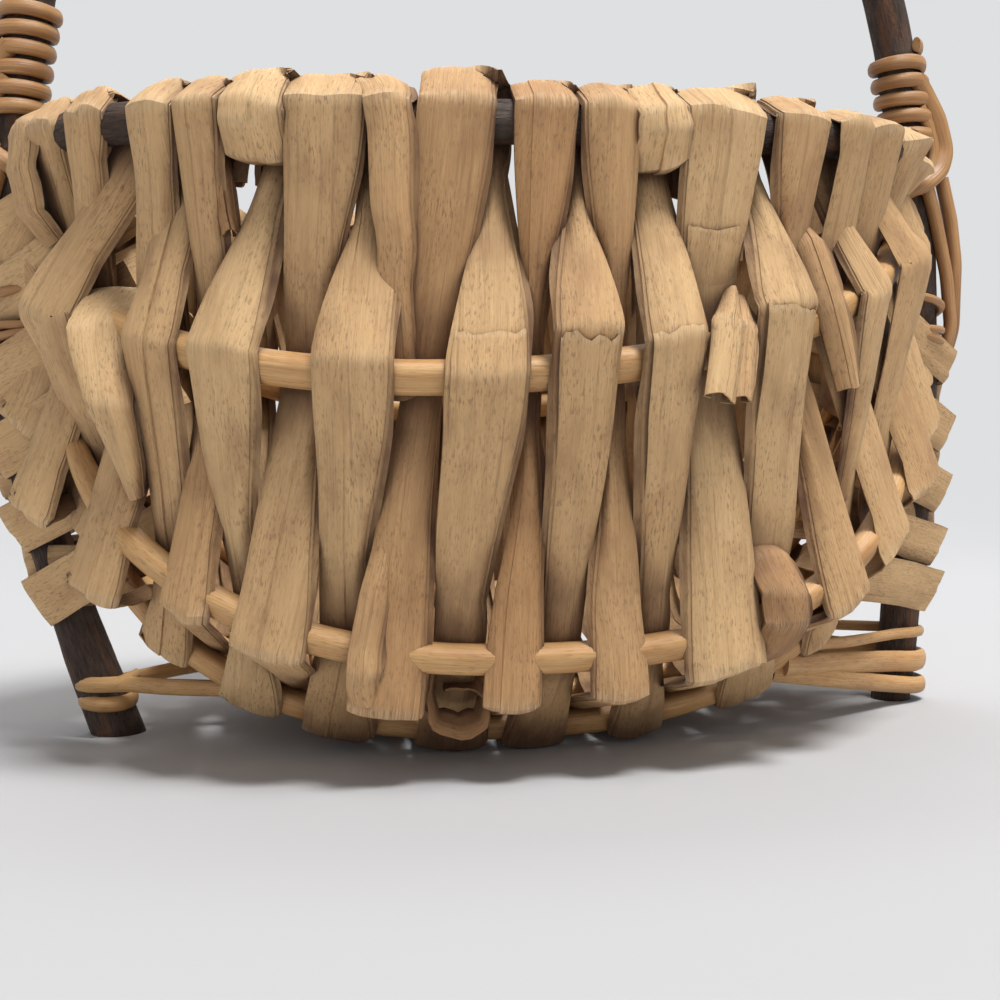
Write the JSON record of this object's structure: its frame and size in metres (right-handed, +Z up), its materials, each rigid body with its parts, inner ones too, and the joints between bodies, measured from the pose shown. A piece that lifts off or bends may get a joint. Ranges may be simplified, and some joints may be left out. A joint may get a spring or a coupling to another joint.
{
  "type": "footed basket",
  "caption": "Oval rib basket of flat leaf strips woven over round rods, with a bark twig bent into the arched handle and two feet, bound with rattan.",
  "frame": {"origin": "on the floor under the middle of the basket's box", "axes": "+Z up, X along the basket from foot to foot, -Y towards the front that the picture shows"},
  "size_m": [0.301, 0.1942, 0.3449],
  "materials": {
    "bark_twig": "dark bark, rough",
    "peeled_rod": "peeled, satin",
    "rattan_binding": "smooth rattan, satin",
    "leaf_strip": "dry fibrous leaf, matt"
  },
  "bodies": {
    "root": {"handle_hoop": "bark_twig", "rim_hoop": "bark_twig", "rib_front_upper": "peeled_rod", "rib_front_lower": "peeled_rod", "rib_front_bottom": "peeled_rod", "keel_rod": "peeled_rod", "rib_back_bottom": "peeled_rod", "rib_back_lower": "peeled_rod", "rib_back_upper": "peeled_rod", "weaver_left_11": "leaf_strip", "weaver_left_10": "leaf_strip", "weaver_left_09": "leaf_strip", "weaver_left_08": "leaf_strip", "weaver_left_07": "leaf_strip", "weaver_left_06": "leaf_strip", "weaver_left_05": "leaf_strip", "weaver_left_04": "leaf_strip", "weaver_left_03": "leaf_strip", "weaver_left_02": "leaf_strip", "weaver_left_01": "leaf_strip", "weaver_middle": "leaf_strip", "weaver_right_01": "leaf_strip", "weaver_right_02": "leaf_strip", "weaver_right_03": "leaf_strip", "weaver_right_04": "leaf_strip", "weaver_right_05": "leaf_strip", "weaver_right_06": "leaf_strip", "weaver_right_07": "leaf_strip", "weaver_right_08": "leaf_strip", "weaver_right_09": "leaf_strip", "weaver_right_10": "leaf_strip", "weaver_right_11": "leaf_strip", "rim_wrap_left": "leaf_strip", "rim_wrap_right": "leaf_strip", "handle_winding_left": "rattan_binding", "handle_winding_right": "rattan_binding", "foot_binding_left": "rattan_binding", "foot_binding_right": "rattan_binding", "end_lashing_left": "rattan_binding", "end_lashing_right": "rattan_binding"}
  },
  "joints": []
}
